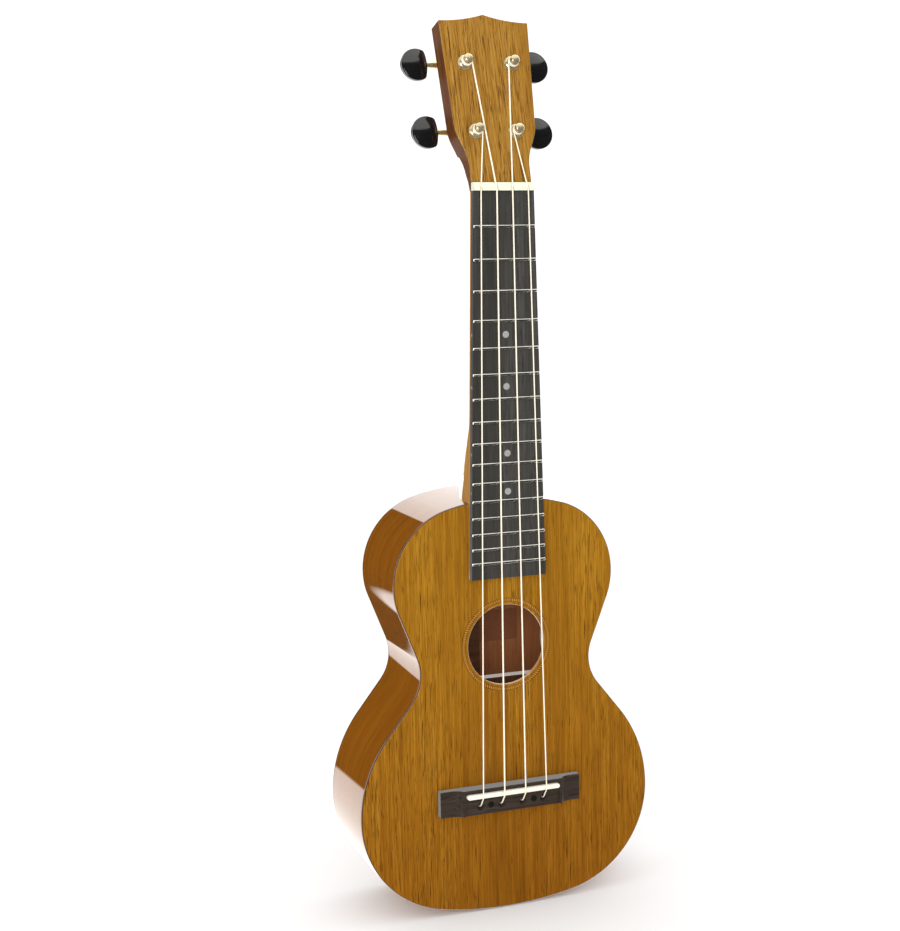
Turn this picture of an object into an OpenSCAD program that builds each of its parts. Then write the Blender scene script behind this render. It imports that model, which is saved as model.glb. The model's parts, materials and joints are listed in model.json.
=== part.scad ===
// Concert ukulele: bent-side box, bolted-on neck, open-gear tuners and four nylon strings.
// +Z runs up the neck, +X is the viewer's right when facing the soundboard, and the soundboard faces -Y.
// The origin is the middle of the flat back's outer face.

/* [Scale] */
// Scale length, from the nut's front face to the uncompensated saddle line
scale_length = 380; // [370:1:390]
// Number of frets
fret_count = 16; // [12:1:16]
// How far the body's top edge stands above the twelfth fret
body_over_octave = 0.85; // [0:0.05:2]

/* [Body] */
// Depth of the body over both plates
body_depth = 67; // [60:1:75]
// Thickness of the soundboard
top_t = 2; // [1.5:0.1:3]
// Thickness of the back plate
back_t = 2.2; // [1.5:0.1:3]
// Thickness of the bent sides
side_t = 2; // [1.5:0.1:2.5]
// Radius of the soundhole
hole_r = 26; // [22:0.25:28]
// Distance from the uncompensated saddle line up to the soundhole's centre
hole_over_saddle = 96.1; // [93:0.1:100]

/* [Neck] */
// Half width of the fretboard at the nut
nut_half_w = 19.8; // [19:0.1:22]
// Half width of the fretboard at its lower end
board_half_w = 25.1; // [24:0.1:27]
// Thickness of the fretboard
board_t = 3.8; // [3:0.1:5]
// How far the neck's flat front stands out over the soundboard
neck_rise = 2.6; // [2:0.1:4]
// Distance from the uncompensated saddle line up to the fretboard's lower end
board_over_saddle = 140.9; // [138:0.1:144]
// Depth of the neck behind the fretboard at the nut
neck_d_nut = 15.6; // [13:0.1:17]
// Depth of the neck behind the fretboard at the heel
neck_d_heel = 18.1; // [15:0.1:20]

/* [Headstock] */
// Angle that the headstock leans back
head_tilt = 15; // [12:0.5:17]
// Thickness of the headstock with its veneer
head_t = 13.5; // [12:0.5:15]
// Thickness of the veneer on the headstock's face
veneer_t = 1; // [0.6:0.1:1.5]
// Length of the headstock to its corners
head_len = 101.9; // [98:0.1:105]
// Height of the crown's point above the corners
crown_h = 4.4; // [3:0.1:8]

/* [Strings] */
// Half of the outer string spacing at the nut
nut_half_span = 15.4; // [14:0.05:17]
// Half of the outer string spacing at the saddle
saddle_half_span = 21.8; // [20:0.1:24]
// Height of the saddle's top over the soundboard
saddle_h = 11.3; // [10:0.1:13]

/* [Bridge] */
// Half length of the bridge
bridge_half_len = 48.2; // [44:0.1:52]
// Height of the bridge's middle block
bridge_h = 8.2; // [7:0.1:9]
// Distance that the saddle stands above its nominal line, for compensation
saddle_offset = 1.3; // [0:0.1:3]

/* [Tuners] */
// Distance of the lower posts from the centreline
lower_post_x = 13; // [12.5:0.1:13.5]
// Distance of the upper posts from the centreline
upper_post_x = 15.2; // [14.5:0.1:16]
// Height of the lower posts along the headstock's face
lower_post_s = 32; // [31:0.5:34]
// Height of the upper posts along the headstock's face
upper_post_s = 75.2; // [74:0.1:77]
// Height of the worm's axis over the headstock's back face
worm_h = 7.5; // [7:0.1:8.5]
// Radius of each button's round outline
button_r = 10.3; // [9:0.1:10.5]

/* [Hidden] */
$fn = 48;
eps = 0.01;

// The body's half outline, from the top centre clockwise: [signed radius, signed turn], or
// [0, length] for a straight.
// A positive radius bends right, a negative one bends left round the waist, and a last arc closes it.
HALF_BODY = [[144.3, 15.6], [48.8, 95.7], [0, 30.4], [-28.6, -59.7], [0, 26.4], [85.9, 37], [67.1, 80.1]];
// The headstock's right edge from the nut up: flare, straight, shoulder, then the long straight
HEAD_EDGE = [[0, 10], [30, 22], [0, 7.8], [-25, -19.7]];
ARC_STEP = 5;

function heading(h) = [cos(h), -sin(h)];
function right_of(h) = [-sin(h), -cos(h)];
function arc_end(p, h, r, t) = p + r * right_of(h) - r * right_of(h + t);
function arc_points(p, h, r, t) =
    let (n = max(2, ceil(abs(t) / ARC_STEP)))
    [for (i = [1 : n]) arc_end(p, h, r, t * i / n)];
// Points along a path of arcs and straights that starts at p with heading h
function walk(p, h, path, i = 0) =
    i == len(path) ? [] :
    path[i][0] == 0 ?
        let (q = p + path[i][1] * heading(h))
        concat([q], walk(q, h, path, i + 1)) :
        concat(
            arc_points(p, h, path[i][0], path[i][1]),
            walk(arc_end(p, h, path[i][0], path[i][1]), h + path[i][1], path, i + 1));
function inset(path, d) = [for (s = path) s[0] == 0 ? s : [s[0] - d, s[1]]];
function turned(path) = [for (s = path) s[0] == 0 ? 0 : s[1]] * [for (s = path) 1];
function mirrored(points) = [for (i = [len(points) - 1 : -1 : 0]) [-points[i][0], points[i][1]]];

// Half of the body's outline, set in by d, with its top centre at height 0
function half_raw(d) =
    let (
        start = [0, -d],
        open_side = walk(start, 0, inset(HALF_BODY, d)),
        last = open_side[len(open_side) - 1],
        h = turned(HALF_BODY),
        closing = last[0] / sin(180 - h))
    concat([start], open_side, arc_points(last, h, closing, 180 - h));
BODY_LENGTH = let (half = half_raw(0)) -half[len(half) - 1][1];
body_top_z = BODY_LENGTH / 2;
function half_body(d) = [for (p = half_raw(d)) p + [0, body_top_z]];
function body_outline(d) = let (half = half_body(d)) concat(half, [
    for (i = [len(half) - 2 : -1 : 1]) [-half[i][0], half[i][1]]]);

// Heights
nut_z = body_top_z + scale_length / 2 - body_over_octave;
saddle_line_z = nut_z - scale_length;
saddle_z = saddle_line_z + saddle_offset;
hole_z = saddle_line_z + hole_over_saddle;
board_end_z = saddle_line_z + board_over_saddle;
function fret_z(i) = saddle_line_z + scale_length * pow(2, -i / 12);

// Depths, along Y
top_y = -body_depth;
top_inner_y = top_y + top_t;
back_inner_y = -back_t;
neck_y = top_y - neck_rise;
board_y = neck_y - board_t;

// Fretboard
function board_w(z) = nut_half_w + (board_half_w - nut_half_w) * (nut_z - z) / (nut_z - board_end_z);
fret_crown_r = 1;
fret_tang = [0.6, 2];
marker_r = 2.1;
marker_t = 1;
MARKER_FRETS = [5, 7, 10, 12];
function marker_z(i) = (fret_z(i) + fret_z(i - 1)) / 2;

// Nut
nut_t = 5;
nut_h = board_t + 2;
nut_back_h = board_t - 0.3;

// Headstock frame: the face's lower edge, just behind the nut
head_y = neck_y - 0.4;
head_z = nut_z + nut_t;
head_shoulder = let (p = walk([nut_half_w, 0], -90, HEAD_EDGE)) p[len(p) - 1];
head_corner_w = head_shoulder[0] + (head_len - head_shoulder[1]) * tan(turned(HEAD_EDGE));
crown_arc = 2 * atan(crown_h / head_corner_w);

// Tuners, from the lower left clockwise: [distance right of the centreline, height along the face]
POSTS = [
    [-lower_post_x, lower_post_s], [-upper_post_x, upper_post_s],
    [upper_post_x, upper_post_s], [lower_post_x, lower_post_s]
];
wheel_teeth = 14;
wheel_r = 4;
worm_r = 2.4;
post_r = 3;
post_waist_r = 2.4;
post_bore_r = 3.05;
post_top = 8.6;
post_hole_r = 0.75;
bushing_r = 4;
bushing_flange_r = 4.75;
bushing_len = 8;
plate_t = 1.2;
plate_y = head_t + plate_t;
worm_y = head_t + worm_h;
worm_offset = wheel_r + worm_r;
pitch = 2 * PI * wheel_r / wheel_teeth;
worm_half_len = 4.1;
worm_root_r = 1.75;
worm_crest_r = 2.9;
journal_r = 1.5;
journal_bore_r = 1.55;
ear_x = [5.4, 6.6];
ear_half_w = 3;
collar_x = 6.9;
button_x = 16.9;
button_depth = 17.1;
button_half_t = 3.8;
button_edge_r = 28;
stem_len = 7;
wheel_half_t = 1.2;
wheel_bore_r = 1.6;
gear_screw_r = 0.8;
plate_half_w = 6.6;
PLATE_SCREWS = [-8.6, 12.6];
plate_screw_r = 1.1;
plate_end_r = 3.4;
screw_len = 6;

// Strings, in the tuners' order: radius of each
STRING_R = [0.42, 0.52, 0.48, 0.42];
function string_t(i) = (2 * i - 3) / 3;
function nut_string_x(i) = string_t(i) * nut_half_span;
function saddle_string_x(i) = string_t(i) * saddle_half_span;
winding_y = -3.95;
winding_gap = 1.02;
string_hole_r = 0.9;
string_mouth_r = 2.5;
anchor_z = saddle_line_z - 6.8;
knot_y = top_inner_y + 5;

// Bridge
bridge_low_z = saddle_line_z - 11.6;
bridge_high_z = saddle_line_z + 5.4;
bridge_block_half = 34.5;
bridge_tip_h = 4.4;
saddle_half_len = 31.9;
saddle_t = 3;
saddle_slot_floor = 3.2;
bolt_x = 14.9;
bolt_z = saddle_line_z - 5.9;
bolt_r = 1.5;
bolt_head_r = 2;
bridge_plate_t = 2;
bridge_rear_h = 7;
bolt_cap_t = 1.8;
bolt_head_t = 2;

// Moves a flat shape drawn in X and Z so that it fills from y = back_y forwards by t
module slab(back_y, t) {
    translate([0, back_y, 0]) rotate([90, 0, 0]) linear_extrude(t) children();
}

module body_2d(d) {
    polygon(body_outline(d));
}

// Carries its children to the headstock's frame: face at y = 0, wood behind it, z up the face
module on_head() {
    translate([0, head_y, head_z]) rotate([-head_tilt, 0, 0]) children();
}

// Carries its children to tuner i, mirrored on the left so that +X always points outwards
module at_tuner(i) {
    on_head() translate([POSTS[i - 1][0], 0, POSTS[i - 1][1]])
        mirror([POSTS[i - 1][0] < 0 ? 1 : 0, 0, 0]) children();
}

// A cylinder along Y from y = a to y = b
module rod_y(a, b, r) {
    translate([0, b, 0]) rotate([90, 0, 0]) cylinder(h = b - a, r = r);
}

// A cone or cylinder along X from x = a to x = b
module rod_x(a, b, r, r_end) {
    translate([a, 0, 0]) rotate([0, 90, 0]) cylinder(h = b - a, r1 = r, r2 = r_end);
}

module soundboard() {
    color([0.64, 0.43, 0.12]) difference() {
        slab(top_inner_y, top_t) body_2d(0);
        translate([0, 0, hole_z]) rod_y(top_y - 1, top_inner_y + 1, hole_r);
        rosette_ring();
        string_holes();
        bolt_holes();
    }
}

// The ring inlaid round the soundhole
rosette_in = 1.7;
rosette_w = 2.8;
rosette_t = 0.6;
module rosette_ring() {
    translate([0, 0, hole_z]) difference() {
        rod_y(top_y, top_y + rosette_t, hole_r + rosette_in + rosette_w);
        rod_y(top_y - 1, top_y + 1, hole_r + rosette_in);
    }
}

module rosette() {
    color([0.45, 0.27, 0.09]) rosette_ring();
}

module back_plate() {
    color([0.42, 0.24, 0.1]) slab(0, back_t) body_2d(0);
}

module half_side() {
    outer = half_body(0);
    inner = half_body(side_t);
    slab(back_inner_y, body_depth - top_t - back_t)
        polygon(concat(outer, [for (i = [len(inner) - 1 : -1 : 0]) inner[i]]));
}

module side_right() {
    color([0.53, 0.33, 0.1]) difference() {
        half_side();
        neck_dowel_shapes();
    }
}

module side_left() {
    color([0.53, 0.33, 0.1]) difference() {
        mirror([1, 0, 0]) half_side();
        neck_dowel_shapes();
    }
}

// Blocks, linings and braces inside the box
inner_depth = body_depth - top_t - back_t;
block_half_w = 26;
heel_block_h = 26;
tail_block_h = 14;
lining_w = 5;
lining_h = 8;
block_top = 60;
module heel_block_zone() {
    translate([-block_half_w, body_top_z - side_t - heel_block_h]) square([2 * block_half_w, block_top]);
}

module tail_block_zone() {
    translate([-block_half_w, -body_top_z - block_top + side_t + tail_block_h])
        square([2 * block_half_w, block_top]);
}

module heel_block() {
    color([0.72, 0.55, 0.33]) difference() {
        slab(back_inner_y, inner_depth) intersection() {
            body_2d(side_t);
            heel_block_zone();
        }
        neck_dowel_shapes();
    }
}

module tail_block() {
    color([0.72, 0.55, 0.33]) slab(back_inner_y, inner_depth) intersection() {
        body_2d(side_t);
        tail_block_zone();
    }
}

module lining_2d() {
    difference() {
        body_2d(side_t);
        body_2d(side_t + lining_w);
        heel_block_zone();
        tail_block_zone();
    }
}

module linings() {
    color([0.7, 0.5, 0.28]) {
        slab(top_inner_y + lining_h, lining_h) lining_2d();
        slab(back_inner_y, lining_h) lining_2d();
    }
}

// Cross braces: [height, width, depth]; each ends where the linings begin
TOP_CROSS = [[hole_z + hole_r + 9, 6, 9], [hole_z - hole_r - 9, 6, 9]];
BACK_CROSS = [[body_top_z * 0.6, 6, 8], [0, 6, 8], [-body_top_z * 0.58, 6, 8]];
// Fan braces: [offset at their top, angle]
FAN = [[-14, 12], [0, 0], [14, -12]];
fan_top_z = hole_z - hole_r - 14;
fan_len = 98;
fan_w = 5;
fan_d = 6;

module cross_2d(brace) {
    intersection() {
        body_2d(side_t + lining_w);
        translate([-100, brace[0] - brace[1] / 2]) square([200, brace[1]]);
    }
}

module fan_braces() {
    for (f = FAN)
        slab(top_inner_y + fan_d, fan_d) translate([f[0], fan_top_z]) rotate(-f[1])
            translate([-fan_w / 2, -fan_len]) square([fan_w, fan_len]);
}

module soundboard_braces() {
    color([0.78, 0.62, 0.4]) difference() {
        union() {
            for (b = TOP_CROSS) slab(top_inner_y + b[2], b[2]) cross_2d(b);
            fan_braces();
        }
        string_holes();
        bolt_holes();
        bridge_plate_shape();
    }
}

module back_braces() {
    color([0.78, 0.62, 0.4]) for (b = BACK_CROSS) slab(back_inner_y, b[2]) cross_2d(b);
}

strip_half_w = 6;
strip_t = 1.4;
module back_centre_strip() {
    strip_low = -body_top_z + side_t + tail_block_h;
    strip_high = body_top_z - side_t - heel_block_h;
    color([0.75, 0.6, 0.4]) difference() {
        slab(back_inner_y, strip_t) translate([-strip_half_w, strip_low])
            square([2 * strip_half_w, strip_high - strip_low]);
        back_braces();
        label_shape();
    }
}

// The blank paper label glued inside the back, behind the soundhole
label_w = 68;
label_h = 21.5;
label_t = 0.3;
label_low_z = hole_z - 13.8;
module label_shape() {
    slab(back_inner_y, label_t) translate([-label_w / 2, label_low_z]) square([label_w, label_h]);
}

module label() {
    color([0.55, 0.4, 0.25]) label_shape();
}

// The plate under the soundboard that the bridge's bolts and the strings' knots bear on
bridge_plate_half_w = 36;
bridge_plate_h = 26;
module bridge_plate_shape() {
    slab(top_inner_y + bridge_plate_t, bridge_plate_t) translate([-bridge_plate_half_w, bridge_low_z - 4])
        square([2 * bridge_plate_half_w, bridge_plate_h]);
}

module bridge_plate() {
    color([0.6, 0.4, 0.2]) difference() {
        bridge_plate_shape();
        string_holes();
        bolt_holes();
    }
}

// Each string's hole, with a flared mouth where it turns down into the bridge
module string_holes() {
    for (i = [0 : 3]) translate([saddle_string_x(i), 0, anchor_z]) {
        rod_y(top_y - bridge_h - 1, knot_y, string_hole_r);
        translate([0, top_y - bridge_rear_h - 0.05, 0]) rotate([-90, 0, 0])
            cylinder(h = 2.6, r1 = string_mouth_r, r2 = string_hole_r);
    }
}

module bolt_holes() {
    for (s = [-1, 1]) translate([s * bolt_x, 0, bolt_z]) rod_y(top_y - bridge_h - 1, knot_y + 2, bolt_r);
}

// The bridge's cross-section along X: a block in the middle and scooped wings
module bridge_profile() {
    wing = bridge_half_len - bridge_block_half;
    rise = bridge_h - bridge_tip_h;
    scoop = [for (a = [0 : 10 : 90]) [
        bridge_block_half + wing * 0.55 * (1 - cos(a)), bridge_tip_h + rise * (1 - sin(a))]];
    right = concat([[0, bridge_h], [bridge_block_half - 1, bridge_h]], scoop, [
        [bridge_half_len, bridge_tip_h], [bridge_half_len, 0]]);
    polygon(concat(right, [for (i = [len(right) - 1 : -1 : 1]) [-right[i][0], right[i][1]]]));
}

module saddle_2d() {
    reach = saddle_half_len - saddle_t / 2;
    translate([-reach, saddle_z - saddle_t / 2]) square([2 * reach, saddle_t]);
    for (s = [-1, 1]) translate([s * reach, saddle_z]) circle(r = saddle_t / 2);
}

module bridge() {
    color([0.2, 0.17, 0.15]) difference() {
        translate([0, top_y, bridge_low_z]) mirror([0, 1, 0])
            linear_extrude(bridge_high_z - bridge_low_z) bridge_profile();
        slab(top_y - saddle_slot_floor, 20) saddle_2d();
        // The step behind the saddle that the strings drop to
        translate([-bridge_block_half + 2, top_y - bridge_h - 1, bridge_low_z - 1])
            cube([2 * bridge_block_half - 4, bridge_h + 1 - bridge_rear_h, anchor_z - bridge_low_z + 5.6]);
        string_holes();
        bolt_holes();
        for (s = [-1, 1]) translate([s * bolt_x, 0, bolt_z])
            rod_y(top_y - bridge_h - 1, bolt_seat_y, bolt_head_r);
    }
}

// A strip with round ends, and a crowned top for the strings to bend over
module saddle() {
    crown_y = top_y - saddle_h + saddle_t / 2;
    color([0.96, 0.94, 0.85]) intersection() {
        slab(top_y - saddle_slot_floor, saddle_h - saddle_slot_floor) saddle_2d();
        union() {
            translate([0, crown_y, saddle_z])
                rod_x(-saddle_half_len, saddle_half_len, saddle_t / 2, saddle_t / 2);
            translate([-saddle_half_len, crown_y, saddle_z - saddle_t / 2])
                cube([2 * saddle_half_len, saddle_h, saddle_t]);
        }
    }
}

// The bolts under the two caps
bolt_cap_y = top_y - bridge_rear_h - 0.3;
bolt_seat_y = bolt_cap_y + bolt_cap_t + bolt_head_t;
module bridge_bolts() {
    color([0.6, 0.6, 0.62]) for (s = [-1, 1]) translate([s * bolt_x, 0, bolt_z]) {
        rod_y(bolt_cap_y + bolt_cap_t, bolt_seat_y, bolt_head_r);
        rod_y(bolt_seat_y - eps, top_inner_y + bridge_plate_t + 5, bolt_r);
    }
}

module bridge_nuts() {
    color([0.6, 0.6, 0.62]) for (s = [-1, 1]) translate([s * bolt_x, 0, bolt_z]) difference() {
        union() {
            rod_y(top_inner_y + bridge_plate_t, top_inner_y + bridge_plate_t + 0.6, 3.6);
            translate([0, top_inner_y + bridge_plate_t + 0.6, 0]) rotate([-90, 0, 0])
                cylinder(h = 2.4, r = 3.1, $fn = 6);
        }
        rod_y(top_y, top_y + 20, bolt_r);
    }
}

module bolt_caps() {
    color([0.1, 0.1, 0.1]) for (s = [-1, 1]) translate([s * bolt_x, 0, bolt_z])
        rod_y(bolt_cap_y, bolt_cap_y + bolt_cap_t, bolt_head_r);
}

// The fretboard's tapered outline up to height high, narrower by d on each side
module board_2d(high, d) {
    top_w = board_w(high) - d;
    end_w = board_half_w - d;
    polygon([[-end_w, board_end_z], [end_w, board_end_z], [top_w, high], [-top_w, high]]);
}

module fretboard() {
    color([0.24, 0.24, 0.23]) difference() {
        slab(neck_y, board_t) board_2d(nut_z, 0);
        for (i = [1 : fret_count]) translate([-50, board_y - 1, fret_z(i) - fret_tang[0] / 2])
            cube([100, fret_tang[1] + 1, fret_tang[0]]);
        fret_marker_shapes();
        side_marker_shapes();
    }
}

module fret_2d() {
    intersection() {
        circle(r = fret_crown_r);
        translate([0, -5]) square([5, 10]);
    }
    translate([-fret_tang[1], -fret_tang[0] / 2]) square([fret_tang[1] + 0.3, fret_tang[0]]);
}

module frets() {
    color([0.85, 0.84, 0.8]) for (i = [1 : fret_count]) {
        half = board_w(fret_z(i)) - 0.2;
        translate([half, board_y, fret_z(i)]) rotate([0, -90, 0]) rotate([0, 0, -90])
            linear_extrude(2 * half) fret_2d();
    }
}

module fret_marker_shapes() {
    for (i = MARKER_FRETS) translate([0, 0, marker_z(i)]) rod_y(board_y, board_y + marker_t, marker_r);
}

module fret_markers() {
    color([0.7, 0.7, 0.68]) fret_marker_shapes();
}

side_marker_r = 0.9;
module side_marker_shapes() {
    for (i = MARKER_FRETS) translate([-board_w(marker_z(i)), board_y + board_t / 2, marker_z(i)])
        rod_x(-0.05, 1.35, side_marker_r, side_marker_r);
}

module side_markers() {
    color([0.85, 0.84, 0.8]) intersection() {
        side_marker_shapes();
        slab(neck_y, board_t) board_2d(nut_z, 0);
    }
}

// The open slot under string i: level to the front, then falling back towards the string's post
slot_gap = 0.1;
slot_side = 0.3;
module nut_slot(i) {
    p = nut_point(i);
    q = post_point(i);
    fall = (q[1] - p[1]) / (q[2] - p[2]);
    floor_y = p[1] + STRING_R[i] + slot_gap;
    half = STRING_R[i] + slot_side;
    translate([p[0] + half, 0, 0]) rotate([0, -90, 0]) linear_extrude(2 * half) polygon([
        [p[2] - 3, floor_y - 5], [p[2] - 3, floor_y], [p[2], floor_y],
        [p[2] + 9, floor_y + 9 * fall], [p[2] + 9, floor_y - 5]]);
}

module nut() {
    color([0.93, 0.93, 0.84]) difference() {
        translate([nut_half_w, neck_y, nut_z]) rotate([0, -90, 0]) rotate([0, 0, -90])
            linear_extrude(2 * nut_half_w)
                polygon([[0, 0], [nut_h, 0], [nut_h, 1.5], [nut_back_h, nut_t], [0, nut_t]]);
        for (i = [0 : 3]) nut_slot(i);
    }
}

// The neck's cross-section: half width w, depth d behind its flat front, and a power that is 1 for an
// ellipse and falls towards 0 as the back squares up
function neck_section(w, d, power) = [for (a = [0 : 12 : 180]) [
    w * sign(cos(a)) * pow(abs(cos(a)), power), d * pow(sin(a), power)]];

// A ring of that cross-section with the middle of its flat front at p, leaning back by lean
function neck_ring(p, w, d, power, lean) = [for (q = neck_section(w, d, power))
    p + [q[0], q[1] * cos(lean), -q[1] * sin(lean)]];
function shaft_ring(z) =
    let (t = (nut_z - z) / (nut_z - body_top_z))
    neck_ring([0, neck_y, z], board_w(z), neck_d_nut + (neck_d_heel - neck_d_nut) * t, 1, 0);
// The point at height s and depth d in the headstock
function head_point(s, d) = [
    0, head_y + s * sin(head_tilt) + d * cos(head_tilt), head_z + s * cos(head_tilt) - d * sin(head_tilt)];
// The headstock's half width at height s, up to the end of its first curve
function head_w(s) =
    s <= HEAD_EDGE[0][1] ? nut_half_w :
    nut_half_w + HEAD_EDGE[1][0] * (1 - cos(asin((s - HEAD_EDGE[0][1]) / HEAD_EDGE[1][0])));
// Above the nut the round back squares up into the slab: [height, depth past the slab's, power]
SQUARING = [[3, 2.5, 0.75], [8, 1.3, 0.5], [14, 0.4, 0.3], [21, -0.2, 0.15]];
slab_low = 20;
NECK_RINGS = concat(
    [for (z = [body_top_z - 5, body_top_z + 60, nut_z - 60, nut_z - 6, nut_z + 1]) shaft_ring(z)],
    [for (q = SQUARING) neck_ring(
        head_point(q[0], veneer_t), head_w(q[0]) - 0.1, head_t - veneer_t + q[1], q[2], head_tilt)]);

// Heel rings: [depth behind the soundboard's face, half width, how far it stands above the body]
HEEL = [[11, 23.6, 50], [19, 22.4, 29], [28, 19.8, 19.5], [42, 14.6, 14], [body_depth - 3, 6.9, 12.5]];
heel_root = 6;
HEEL_RINGS = [for (h = HEEL) [for (q = neck_section(h[1], h[2] + heel_root, 0.85)) [
    q[0], top_y + h[0], body_top_z - heel_root + q[1]]]];

// A closed skin over rings that all have the same number of points
module loft(rings) {
    n = len(rings[0]);
    last = len(rings) - 1;
    walls = [for (i = [0 : last - 1], k = [0 : n - 1])
        let (a = i * n + k, b = i * n + (k + 1) % n)
        each [[a, b + n, b], [a, a + n, b + n]]];
    ends = [[for (k = [0 : n - 1]) k], [for (k = [n - 1 : -1 : 0]) last * n + k]];
    polyhedron([for (r = rings) each r], concat(walls, ends), convexity = 6);
}

module head_2d() {
    edge = concat([[nut_half_w, 0]], walk([nut_half_w, 0], -90, HEAD_EDGE), [[head_corner_w, head_len]]);
    // The crown: a concave arc from each corner, flat there, up to the point in the middle
    crown_r = head_corner_w / sin(crown_arc);
    crown = [for (i = [1 : 6]) let (a = crown_arc * i / 6) [
        head_corner_w - crown_r * sin(a), head_len + crown_r * (1 - cos(a))]];
    right = concat(edge, crown);
    polygon(concat(right, mirrored([for (i = [0 : len(right) - 2]) right[i]])));
}

module neck() {
    color([0.6, 0.4, 0.18]) difference() {
        union() {
            loft(NECK_RINGS);
            loft([for (i = [len(HEEL_RINGS) - 1 : -1 : 0]) HEEL_RINGS[i]]);
            on_head() slab(head_t, head_t - veneer_t) difference() {
                head_2d();
                translate([-50, slab_low - 100]) square([100, 100]);
            }
            // The tongue that carries the fretboard over the soundboard
            slab(top_y, neck_rise) board_2d(body_top_z + 10, 0.3);
        }
        // Room for the body, the fretboard and the nut
        slab(5, body_depth + 5) body_2d(0);
        translate([-40, neck_y - 20, board_end_z]) cube([80, 20, head_z - board_end_z]);
        for (i = [1 : 4]) at_tuner(i) {
            rod_y(-5, bushing_len, bushing_r);
            rod_y(bushing_len - eps, head_t + 5, post_bore_r + 0.4);
            for (s = PLATE_SCREWS) translate([0, 0, s]) rod_y(head_t - screw_len, head_t + 1, plate_screw_r);
        }
        neck_dowel_shapes();
    }
}

module headstock_veneer() {
    color([0.7, 0.5, 0.2]) difference() {
        on_head() slab(veneer_t, veneer_t) difference() {
            head_2d();
            translate([-50, -10]) square([100, 10.4]);
        }
        for (i = [1 : 4]) at_tuner(i) rod_y(-5, bushing_len, bushing_r);
    }
}

dowel_r = 4;
module neck_dowel_shapes() {
    for (d = [18, 34]) translate([0, top_y + d, body_top_z - 20]) cylinder(h = 28, r = dowel_r);
}

module neck_dowels() {
    color([0.8, 0.65, 0.42]) neck_dowel_shapes();
}

// Strings: each is one taut tube over the nut and the saddle, through the bridge to its knot.
// A ring of the tube at p across the direction d, with radius r
SIDES = 10;
function unit(v) = v / norm(v);
function ring(p, d, r) =
    let (u = unit(cross(d, [0, 1, 0.3])), v = unit(cross(d, u)))
    [for (k = [0 : SIDES - 1]) p + r * (cos(360 * k / SIDES) * u + sin(360 * k / SIDES) * v)];
function path_dir(path, i) =
    let (a = i == 0 ? path[0] : path[i - 1], b = i == len(path) - 1 ? path[i] : path[i + 1])
    unit(b - a);
module tube(path, radii) {
    loft([for (i = [0 : len(path) - 1]) ring(path[i], path_dir(path, i), radii[i])]);
}

string_gap = 0.08;
// Where string i reaches its post: beside the waist, on the side nearer the centreline
function post_point(i) =
    [POSTS[i][0] - sign(POSTS[i][0]) * (post_waist_r + 0.25 + STRING_R[i]), 0, 0]
    + head_point(POSTS[i][1], winding_y);
function nut_point(i) = [nut_string_x(i), board_y - 1.6, nut_z + 0.6];
// Where string i lies against the saddle's crown, a degrees past its top
function saddle_point(i, a) =
    let (r = saddle_t / 2 + STRING_R[i] + string_gap)
    [saddle_string_x(i), top_y - saddle_h + saddle_t / 2 - r * cos(a), saddle_z - r * sin(a)];
function string_path(i) =
    let (xs = saddle_string_x(i))
    concat(
        [post_point(i), nut_point(i)],
        [for (a = [0, 19, 38]) saddle_point(i, a)],
        [
            [xs, top_y - bridge_rear_h - 0.3, anchor_z + 1.5],
            [xs, top_y - bridge_rear_h + 1.6, anchor_z],
            [xs, knot_y - 2.2, anchor_z],
            [xs, knot_y - 1.7, anchor_z],
            [xs, knot_y + 1, anchor_z],
            [xs, knot_y + 2, anchor_z]
        ]);

module string(i) {
    r = STRING_R[i - 1];
    color([0.94, 0.9, 0.8]) tube(string_path(i - 1), [r, r, r, r, r, r, r, r, 1.7, 1.7, 0.7]);
}

// Tuner parts, each drawn about its own post
module tuner_plate(i) {
    color([0.78, 0.68, 0.42]) at_tuner(i) difference() {
        union() {
            translate([-plate_half_w, head_t, PLATE_SCREWS[0]])
                cube([2 * plate_half_w, plate_t, PLATE_SCREWS[1] - PLATE_SCREWS[0]]);
            for (s = PLATE_SCREWS) translate([0, 0, s]) rod_y(head_t, plate_y, plate_end_r);
            for (s = [-1, 1])
                translate([s > 0 ? ear_x[0] : -ear_x[1], plate_y - eps, worm_offset - ear_half_w])
                cube([ear_x[1] - ear_x[0], worm_h - plate_t, 2 * ear_half_w]);
            for (s = [-1, 1]) translate([0, worm_y, worm_offset])
                rod_x(s > 0 ? ear_x[0] : -ear_x[1], s > 0 ? ear_x[1] : -ear_x[0], ear_half_w, ear_half_w);
        }
        rod_y(head_t - 1, plate_y + 1, post_bore_r);
        for (s = PLATE_SCREWS) translate([0, 0, s]) rod_y(head_t - 1, plate_y + 1, plate_screw_r);
        translate([0, worm_y, worm_offset]) rod_x(-10, 10, journal_bore_r, journal_bore_r);
    }
}

// A screw thread round the X axis, from x = -half_len to half_len, crest at x = 0 on the -Z side
THREAD_STEPS = 18;
thread_root_w = 0.85;
thread_crest_w = 0.3;
module thread(half_len) {
    turns = 2 * half_len / pitch;
    n = ceil(turns * THREAD_STEPS);
    root = worm_root_r - 0.2;
    section = [[thread_root_w / 2, root], [thread_crest_w / 2, worm_crest_r],
        [-thread_crest_w / 2, worm_crest_r], [-thread_root_w / 2, root]];
    loft([for (i = [0 : n])
        let (a = 360 * turns * (i / n - 0.5) + 270)
        [for (c = section) [2 * half_len * (i / n - 0.5) + c[0], c[1] * cos(a), c[1] * sin(a)]]]);
}

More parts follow.
